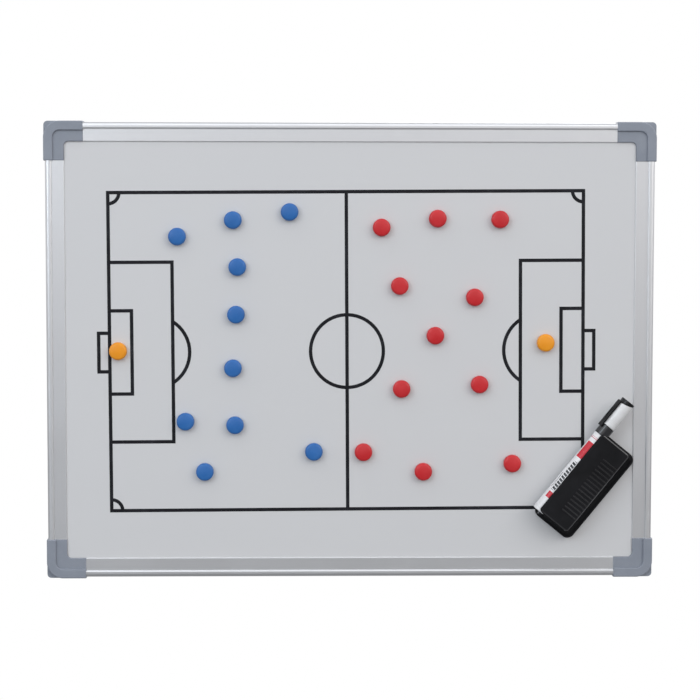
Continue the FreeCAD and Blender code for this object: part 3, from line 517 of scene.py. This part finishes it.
# the CAD pieces that stay as they are get their finish here
cadFinishes = {
    "writing_sheet": "whiteEnamel", "pitch_markings": "pitchInk", "core_panel": "coreBoard",
    "back_sheet": "zincSheet", "eraser_magnets": "ferrite",
    "rail_top": "railLevel", "rail_bottom": "railLevel",
    "rail_left": "railUpright", "rail_right": "railUpright",
    "marker_end_plug": "markerWhite", "marker_reservoir": "inkFibre", "marker_nib": "nibFibre",
}
for node, finish in cadFinishes.items():
    nodes[node].data.materials.clear()
    nodes[node].data.materials.append(finishes[finish])
print("CAD pieces dressed:", len(cadFinishes))


# mesh helpers: an edge is shaded sharp above sharpAngle, and points nearer than a weld are joined
sharpAngle = math.radians(32.0)
spinWeld = 1e-6
cadWeld = 2e-6


def toMesh(name, shape):
    mesh = bpy.data.meshes.new(name)
    shape.to_mesh(mesh)
    shape.free()
    return mesh


def toObject(name, data):
    item = bpy.data.objects.new(name, data)
    bpy.context.scene.collection.objects.link(item)
    return item


def newPiece(name, shape, body, finishNames):
    mesh = toMesh(name, shape)
    for face in mesh.polygons:
        face.use_smooth = True
    mesh.set_sharp_from_angle(angle=sharpAngle)
    for finish in finishNames:
        mesh.materials.append(finishes[finish])
    piece = toObject(name, mesh)
    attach(piece, body)
    return piece


def copyNode(node):
    shape = bmesh.new()
    shape.from_mesh(nodes[node].data)
    bmesh.ops.remove_doubles(shape, verts=shape.verts[:], dist=cadWeld)
    return shape


def drawProfile(shape, points, closed=False):
    corners = [shape.verts.new((x, y, 0)) for x, y in points]
    ends = corners[1:] + corners[:1] if closed else corners[1:]
    for start, end in zip(corners, ends):
        shape.edges.new((start, end))
    return corners


def roundCorners(shape, corners, radius, segments):
    bmesh.ops.bevel(shape, geom=corners, offset=radius, offset_type="OFFSET", affect="VERTICES",
                    segments=segments, profile=0.5, material=-1)


def roundEdges(shape, edges, radius, segments):
    bmesh.ops.bevel(shape, geom=edges, offset=radius, offset_type="OFFSET", affect="EDGES",
                    segments=segments, profile=0.5, material=-1)


# turns a profile about the X axis into a closed body
def spinAll(shape, steps):
    bmesh.ops.spin(shape, geom=shape.verts[:] + shape.edges[:], cent=(0, 0, 0), axis=(1, 0, 0),
                   dvec=(0, 0, 0), angle=2 * math.pi, steps=steps, use_merge=True, use_duplicate=False)
    bmesh.ops.remove_doubles(shape, verts=shape.verts[:], dist=spinWeld)
    bmesh.ops.recalc_face_normals(shape, faces=shape.faces[:])


# player magnets: a crowned cap with a rounded rim, and the ferrite disc in its back
# rim, foot and discEdge have their radius and segments
magnetShape = {
    "crown": 0.0008, "crownCuts": 5, "rim": (0.0022, 6), "foot": (0.0003, 2), "draft": 0.00015, "steps": 72,
    "pocketRadius": 0.0065, "pocketDepth": 0.0032,
    "discRadius": 0.0064, "discBack": 0.0002, "discEdge": (0.0003, 2),
}


def buildMagnet(node):
    colour = node.split("_")[1]
    low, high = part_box(node)
    radius = (high.x - low.x) / 2
    height = high.y - low.y
    part = magnetShape
    shape = bmesh.new()
    # drawn lying along X, the top at x = height
    corners = drawProfile(shape, [
        (part["pocketDepth"], 0), (part["pocketDepth"], part["pocketRadius"]), (0, part["pocketRadius"]),
        (0, radius), (height - part["crown"], radius - part["draft"]), (height, 0),
    ])
    roundCorners(shape, [corners[4]], *part["rim"])
    roundCorners(shape, [corners[3]], *part["foot"])
    top = corners[5].link_edges[0]
    shoulder = top.other_vert(corners[5]).co.copy()
    halfway = bmesh.ops.subdivide_edges(shape, edges=[top], cuts=part["crownCuts"])["geom_inner"]
    for vert in [item for item in halfway if isinstance(item, bmesh.types.BMVert)]:
        vert.co.x = height - (height - shoulder.x) * (vert.co.y / shoulder.y) ** 2
    spinAll(shape, part["steps"])
    capFaces = set(shape.faces)
    disc = bmesh.new()
    discCorners = drawProfile(disc, [
        (part["discBack"], 0), (part["discBack"], part["discRadius"]),
        (part["pocketDepth"], part["discRadius"]), (part["pocketDepth"], 0),
    ])
    roundCorners(disc, [discCorners[1]], *part["discEdge"])
    spinAll(disc, part["steps"])
    spare = toMesh("disc", disc)
    shape.from_mesh(spare)
    bpy.data.meshes.remove(spare)
    for face in shape.faces:
        face.material_index = 0 if face in capFaces else 1
    centre = Vector(((low.x + high.x) / 2, high.y, (low.z + high.z) / 2))
    upright = Matrix.Rotation(math.radians(-90), 4, "Z")
    bmesh.ops.transform(shape, matrix=Matrix.Translation(centre) @ upright, verts=shape.verts[:])
    name = "magnet" + colour.capitalize() + node.split("_")[2]
    piece = newPiece(name, shape, node, ["magnet" + colour.capitalize(), "ferrite"])
    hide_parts(node)


magnetNodes = sorted(node for node in nodes if node.startswith("magnet_"))
for node in magnetNodes:
    buildMagnet(node)
print("magnets modelled:", len(magnetNodes))


# a CAD piece copied, its flat faces joined, and its outward edges rounded where they lie at the given
# levels, in metres before the wall; finishOf, where given, picks the number of each face's finish
flatAngle = math.radians(0.6)


def softenNode(node, name, edges, body, finishNames, finishOf=None):
    def isEdge(edge):
        inLevel = [any(low < -vert.co.y < high for low, high in edges["levels"]) for vert in edge.verts]
        return all(inLevel) and edge.is_convex and edge.calc_face_angle() > math.radians(edges["sharp"])

    shape = copyNode(node)
    bmesh.ops.dissolve_limit(shape, angle_limit=flatAngle, verts=shape.verts[:], edges=shape.edges[:])
    if "tiny" in edges:
        bmesh.ops.dissolve_degenerate(shape, dist=edges["tiny"], edges=shape.edges[:])
    shape.normal_update()
    roundEdges(shape, [edge for edge in shape.edges if isEdge(edge)], edges["width"], edges["segments"])
    if finishOf is not None:
        shape.normal_update()
        for face in shape.faces:
            face.material_index = finishOf(face)
    piece = newPiece(name, shape, body, finishNames)
    flatSides = piece.modifiers.new("flatSides", "WEIGHTED_NORMAL")  # large faces keep a flat shade
    flatSides.keep_sharp = True
    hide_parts(node)


# the eraser's top is satin, and so is its rim beside the marker; the rest of the rim is polished by use and
# given a lighter colour that is partly a painted highlight, the rib tops a little so with partly painted
# glints, and the walls have a coarser moulding and a darker colour that is painted shade
eraserEdges = {
    "width": 0.0004, "segments": 4, "sharp": 25.0, "rim": (0.58, 0.97), "byMarker": 0.4, "ribFoot": 0.0005,
    "levels": ((0.0180, 0.0190), (0.0328, 0.0334), (0.0349, 0.0353)),  # its ledge, rim and rib tops
}
eraserFinishes = ["eraserBlack", "eraserEdgeWornAndHighlit", "eraserWallShaded", "eraserRibWornAndGlinting"]
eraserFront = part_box("eraser_body")[0].y


def eraserFinish(face):
    low, high = eraserEdges["rim"]
    towards = -face.normal.y
    byMarker = face.normal.dot(markerAcross) > eraserEdges["byMarker"]
    # rib tops get the lighter rib black, partly painted glints; steep faces get the darker wall black,
    # painted shade; the rest of the rim away from the marker gets the lighter edge black, partly a painted
    # highlight
    if max(vert.co.y for vert in face.verts) < eraserFront + eraserEdges["ribFoot"]:
        finish = "eraserRibWornAndGlinting"
    elif towards < low:
        finish = "eraserWallShaded"
    elif towards < high and not byMarker:
        finish = "eraserEdgeWornAndHighlit"
    else:
        finish = "eraserBlack"
    return eraserFinishes.index(finish)


softenNode("eraser_body", "eraserHousing", eraserEdges, "eraser",
           eraserFinishes, eraserFinish)
clipEdges = {"width": 0.0003, "segments": 3, "sharp": 30.0, "tiny": 0.0001, "levels": ((0.0, 0.05),)}
softenNode("marker_cap_clip", "markerClip", clipEdges, "marker_cap", ["markerBlack"])
softenNode("marker_collar", "markerCollar", clipEdges, "marker", ["collarBlack"])
cornerEdges = {"width": 0.0009, "segments": 4, "sharp": 30.0, "levels": ((0.0125, 0.02),)}
for row in ("top", "bottom"):
    for side in ("left", "right"):
        name = "corner" + row.capitalize() + side.capitalize()
        softenNode(f"corner_{row}_{side}", name, cornerEdges, "board", ["cornerGrey"])
print("eraser housing, clip, collar and corners softened")


# the felt pad: a rounded slab whose sides are a little uneven
feltShape = {
    "cornerSegments": 10, "edge": 0.0005, "edgeSegments": 3, "edgeAngle": 1.0, "rows": 5,
    "longest": 0.004, "cuts": 30, "wave": 0.00022, "waveScale": 420.0, "waveIn": 0.6,
}


def buildFelt():
    part = feltShape
    low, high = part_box("eraser_felt")
    middle = (low + high) / 2
    corners = [vert.co - middle for vert in nodes["eraser_felt"].data.vertices]
    length = 2 * max(point.dot(markerAlong) for point in corners)
    width = 2 * max(point.dot(markerAcross) for point in corners)
    # how far the rounded corner stays short of the sharp one gives its radius
    short = (length + width) / 2 - max(point.dot(markerAlong + markerAcross) for point in corners)
    radius = short / (2 - math.sqrt(2))
    thick = high.y - low.y

    def isUpright(edge):
        return abs(edge.verts[0].co.z - edge.verts[1].co.z) > thick / 2

    shape = bmesh.new()
    bmesh.ops.create_cube(shape, size=1.0)
    bmesh.ops.scale(shape, vec=(length, width, thick), verts=shape.verts[:])
    roundEdges(shape, [edge for edge in shape.edges if isUpright(edge)], radius, part["cornerSegments"])
    rims = [edge for edge in shape.edges
            if not isUpright(edge) and edge.calc_face_angle() > part["edgeAngle"]]
    roundEdges(shape, rims, part["edge"], part["edgeSegments"])
    sides = [edge for edge in shape.edges if isUpright(edge)]
    bmesh.ops.subdivide_edges(shape, edges=sides, cuts=part["rows"], use_grid_fill=True)
    level = [edge for edge in shape.edges if edge.calc_length() > part["longest"]]
    bmesh.ops.subdivide_edges(shape, edges=level, cuts=part["cuts"], use_grid_fill=True)
    shape.normal_update()
    for vert in shape.verts:
        if abs(vert.co.z) < thick / 2 - part["edge"] / 2:
            wave = noise.noise(vert.co * part["waveScale"]) - part["waveIn"]
            vert.co += vert.normal * wave * part["wave"]
    bmesh.ops.transform(shape, matrix=Matrix.Translation(middle) @ markerTurn, verts=shape.verts[:])
    piece = newPiece("eraserPad", shape, "eraser", ["wipingFelt"])
    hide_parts("eraser_felt")


buildFelt()
print("felt pad modelled")


# the marker's barrel and cap, turned about the marker's own axis; an edge has its radius and segments
barrelShape = {"wall": 0.0011, "edge": (0.0003, 3), "steps": 64}


def buildBarrel():
    start = markerSize["plug"]
    end = start + barrelLength
    inner = markerRadius - barrelShape["wall"]
    shape = bmesh.new()
    points = [(start, inner), (start, markerRadius), (end, markerRadius), (end, inner)]
    corners = drawProfile(shape, points, closed=True)
    roundCorners(shape, corners[1:3], *barrelShape["edge"])
    spinAll(shape, barrelShape["steps"])
    bmesh.ops.transform(shape, matrix=markerPlace, verts=shape.verts[:])
    piece = newPiece("markerBarrel", shape, "marker", ["markerLabel"])
    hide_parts("marker_barrel")


capShape = {
    "bore": 0.0055, "boreDepth": 0.027, "edge": (0.0004, 3), "steps": 72,
    "rings": 5, "firstRing": 0.0040, "ringStep": 0.0017, "ringDepth": 0.00035, "ringWidth": 0.0007,
    "slantLong": 0.0057, "slantShort": 0.0012, "cutWeld": 1e-7,
}


def buildCap():
    part = capShape
    mouth = markerSize["plug"] + barrelLength + markerSize["collar"] + markerSize["capGap"]
    end = mouth + markerSize["capLength"]
    floor = mouth + part["boreDepth"]
    low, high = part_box("marker_cap")
    radius = (high.y - low.y) / 2
    points = [(floor, 0), (floor, part["bore"]), (mouth, part["bore"]), (mouth, radius)]
    for ring in range(part["rings"]):
        middle = mouth + part["firstRing"] + ring * part["ringStep"]
        points += [
            (middle - part["ringWidth"] / 2, radius), (middle, radius - part["ringDepth"]),
            (middle + part["ringWidth"] / 2, radius),
        ]
    points += [(end, radius), (end, 0)]
    shape = bmesh.new()
    corners = drawProfile(shape, points)
    roundCorners(shape, [corners[3]], *part["edge"])
    spinAll(shape, part["steps"])
    # the end is cut on a slant, which the clip's end piece covers
    roll = math.radians(markerSize["clipRoll"])
    clipSide = Vector((0, math.cos(roll), math.sin(roll)))
    middle = Vector((end - (part["slantLong"] + part["slantShort"]) / 2, 0, 0))
    rise = (part["slantLong"] - part["slantShort"]) / (2 * radius)
    normal = (Vector((1, 0, 0)) + clipSide * rise).normalized()
    whole = shape.verts[:] + shape.edges[:] + shape.faces[:]
    cut = bmesh.ops.bisect_plane(shape, geom=whole, dist=part["cutWeld"], plane_co=middle,
                                 plane_no=normal, clear_outer=True)
    rim = [item for item in cut["geom_cut"] if isinstance(item, bmesh.types.BMEdge)]
    bmesh.ops.edgeloop_fill(shape, edges=rim)
    bmesh.ops.recalc_face_normals(shape, faces=shape.faces[:])
    bmesh.ops.transform(shape, matrix=markerPlace, verts=shape.verts[:])
    piece = newPiece("markerCap", shape, "marker_cap", ["markerWhite"])
    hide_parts("marker_cap")


buildBarrel()
buildCap()
print("marker barrel and cap modelled")


# corner screws: pan heads with a cross recess, each turned a step further than the last
screwShape = {
    "head": 0.0028, "headHeight": 0.002, "headRound": (0.0009, 5), "steps": 40, "turnStep": 23.0,
    "shank": 0.00135, "shankLength": 0.0076, "point": 0.002,
    "slotLong": 0.0034, "slotWide": 0.0008, "slotDeep": 0.0012,
}


def screwMesh():
    part = screwShape
    shape = bmesh.new()
    corners = drawProfile(shape, [
        (-part["headHeight"], 0), (-part["headHeight"], part["head"]), (0, part["head"]),
        (0, part["shank"]), (part["shankLength"] - part["point"], part["shank"]), (part["shankLength"], 0),
    ])
    roundCorners(shape, [corners[1]], *part["headRound"])
    spinAll(shape, part["steps"])
    cutter = bmesh.new()
    for turn in (0, 90):
        bar = bmesh.ops.create_cube(cutter, size=1.0)["verts"]
        bmesh.ops.scale(cutter, vec=(2 * part["slotDeep"], part["slotLong"], part["slotWide"]), verts=bar)
        about = Matrix.Rotation(math.radians(turn), 3, "X")
        bmesh.ops.rotate(cutter, cent=(0, 0, 0), matrix=about, verts=bar)
    bmesh.ops.translate(cutter, vec=(-part["headHeight"], 0, 0), verts=cutter.verts[:])
    blank = toObject("screwBlank", toMesh("screwBlank", shape))
    recess = toObject("screwRecess", toMesh("screwRecess", cutter))
    cut = blank.modifiers.new("recess", "BOOLEAN")
    cut.operation = "DIFFERENCE"
    cut.solver = "EXACT"
    cut.use_self = True
    cut.object = recess
    graph = bpy.context.evaluated_depsgraph_get()
    result = bpy.data.meshes.new_from_object(blank.evaluated_get(graph))
    for item in (blank, recess):
        spare = item.data
        bpy.data.objects.remove(item)
        bpy.data.meshes.remove(spare)
    return result


def screwPlaces():
    # one spot for each loose part of the node: the middle of its box, and its rearmost depth
    shape = copyNode("corner_screws")
    left = set(shape.verts)
    places = []
    while left:
        found = {left.pop()}
        waiting = list(found)
        while waiting:
            vert = waiting.pop()
            for link in vert.link_edges:
                other = link.other_vert(vert)
                if other in left:
                    left.discard(other)
                    found.add(other)
                    waiting.append(other)
        xs, ys, zs = zip(*(vert.co for vert in found))
        places.append(Vector(((min(xs) + max(xs)) / 2, max(ys), (min(zs) + max(zs)) / 2)))
    shape.free()
    return sorted(places, key=lambda spot: (round(spot.x, 4), round(spot.z, 4)))


def buildScrews():
    blank = screwMesh()
    shape = bmesh.new()
    inward = Matrix.Rotation(math.radians(-90), 4, "Z")  # the screw's own x runs into the board
    for number, spot in enumerate(screwPlaces()):
        already = set(shape.verts)
        shape.from_mesh(blank)
        fresh = [vert for vert in shape.verts if vert not in already]
        turned = inward @ Matrix.Rotation(math.radians(screwShape["turnStep"] * number), 4, "X")
        # the head's back stands at the spot's depth
        place = Matrix.Translation(spot - Vector((0, screwShape["headHeight"], 0))) @ turned
        bmesh.ops.transform(shape, matrix=place, verts=fresh)
    bpy.data.meshes.remove(blank)
    piece = newPiece("cornerScrews", shape, "board", ["screwPlate"])
    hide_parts("corner_screws")


buildScrews()
print("corner screws modelled")


# stage, light and camera
# the sky's stops: height of the ray, from -1 straight down to 1 straight up, and its colour there
skyLook = {
    "seen": (1.0, 1.0, 1.0),
    "stops": ((-1.0, (0.05, 0.05, 0.055)), (-0.3, (0.18, 0.18, 0.185)), (0.0, (0.60, 0.60, 0.615)),
              (0.25, (0.95, 0.955, 0.98)), (0.6, (0.68, 0.69, 0.72)), (1.0, (0.40, 0.41, 0.43))),
}
stageLook = {"floorZ": -0.62, "floorSide": 14.0, "floor": (0.24, 0.24, 0.24), "rough": 0.9}


# the floor and the sky are pale where they are seen, and have their own tones as light on the board
def seenPale(tree, lit, seen, surface):
    pick = addNode(tree, "MixShader", Fac=addNode(tree, "LightPath").outputs["Is Camera Ray"])
    tree.links.new(lit, pick.inputs[1])
    tree.links.new(seen, pick.inputs[2])
    tree.links.new(pick.outputs["Shader"], surface)


def buildStage():
    shape = bmesh.new()
    bmesh.ops.create_grid(shape, x_segments=1, y_segments=1, size=stageLook["floorSide"] / 2)
    bmesh.ops.translate(shape, vec=(0, 0, stageLook["floorZ"]), verts=shape.verts[:])
    floor = toObject("floor", toMesh("floor", shape))
    material, tree, shader = newFinish("paleFloor", Base_Color=stageLook["floor"],
                                       Roughness=stageLook["rough"])
    seen = addNode(tree, "Emission", Color=skyLook["seen"]).outputs["Emission"]
    seenPale(tree, shader.outputs["BSDF"], seen, tree.nodes["Material Output"].inputs["Surface"])
    floor.data.materials.append(material)


lamps = {
    "keyRight": {"place": (3.4, -3.4, 2.2), "size": (3.0, 3.0), "power": 60.0, "tint": (1.0, 0.97, 0.935)},
    "skyTop": {"place": (-0.6, -1.4, 2.6), "size": (4.0, 2.4), "power": 20.0, "tint": (0.93, 0.965, 1.0)},
    "windowLeft": {"place": (-2.0, -2.6, 1.1), "size": (1.6, 1.6), "power": 22.0, "tint": (0.80, 0.90, 1.0)},
    "rearSoft": {"place": (1.2, 2.4, 1.6), "size": (2.2, 2.2), "power": 27.0, "tint": (1.0, 1.0, 1.0)},
}


def buildLamps():
    for name, look in lamps.items():
        data = bpy.data.lights.new(name, "AREA")
        data.shape = "RECTANGLE"
        data.size, data.size_y = look["size"]
        data.energy = look["power"]
        data.color = look["tint"]
        lamp = toObject(name, data)
        lamp.location = look["place"]
        lamp.rotation_euler = (-Vector(look["place"])).to_track_quat("-Z", "Y").to_euler()


def buildSky():
    world = bpy.data.worlds.new("studio")
    bpy.context.scene.world = world
    world.use_nodes = True
    tree = world.node_tree
    tree.nodes.clear()
    coords = addNode(tree, "TexCoord").outputs["Generated"]
    height = addNode(tree, "SeparateXYZ", Vector=coords).outputs["Z"]
    ramp = addNode(tree, "ValToRGB", Fac=spread(tree, height, (-1.0, 1.0)))
    stops = ramp.color_ramp.elements
    for _ in skyLook["stops"][2:]:
        stops.new(0.5)
    for stop, (level, colour) in zip(stops, skyLook["stops"]):
        stop.position = (level + 1) / 2
        stop.color = (*colour, 1.0)
    soft = addNode(tree, "Background", Color=ramp.outputs["Color"], Strength=1.0).outputs["Background"]
    seen = addNode(tree, "Background", Color=skyLook["seen"], Strength=1.0).outputs["Background"]
    seenPale(tree, soft, seen, addNode(tree, "OutputWorld").inputs["Surface"])


cameraLook = {
    "place": (-0.0395, -1.8, 0.1146), "right": 1.242, "tilt": -3.633, "roll": 0.067,
    "lens": 93.5, "sensor": 36.0,
}


def buildCamera():
    data = bpy.data.cameras.new("photoView")
    data.lens = cameraLook["lens"]
    data.sensor_width = cameraLook["sensor"]
    camera = toObject("photoView", data)
    heading = Matrix.Rotation(math.radians(-cameraLook["right"]), 4, "Z")
    tilt = Matrix.Rotation(math.radians(90 + cameraLook["tilt"]), 4, "X")
    roll = Matrix.Rotation(math.radians(cameraLook["roll"]), 4, "Z")
    camera.matrix_world = Matrix.Translation(cameraLook["place"]) @ heading @ tilt @ roll
    bpy.context.scene.camera = camera


buildStage()
buildLamps()
buildSky()
buildCamera()
bpy.context.scene.view_settings.view_transform = "Standard"
print("stage, light and camera set")
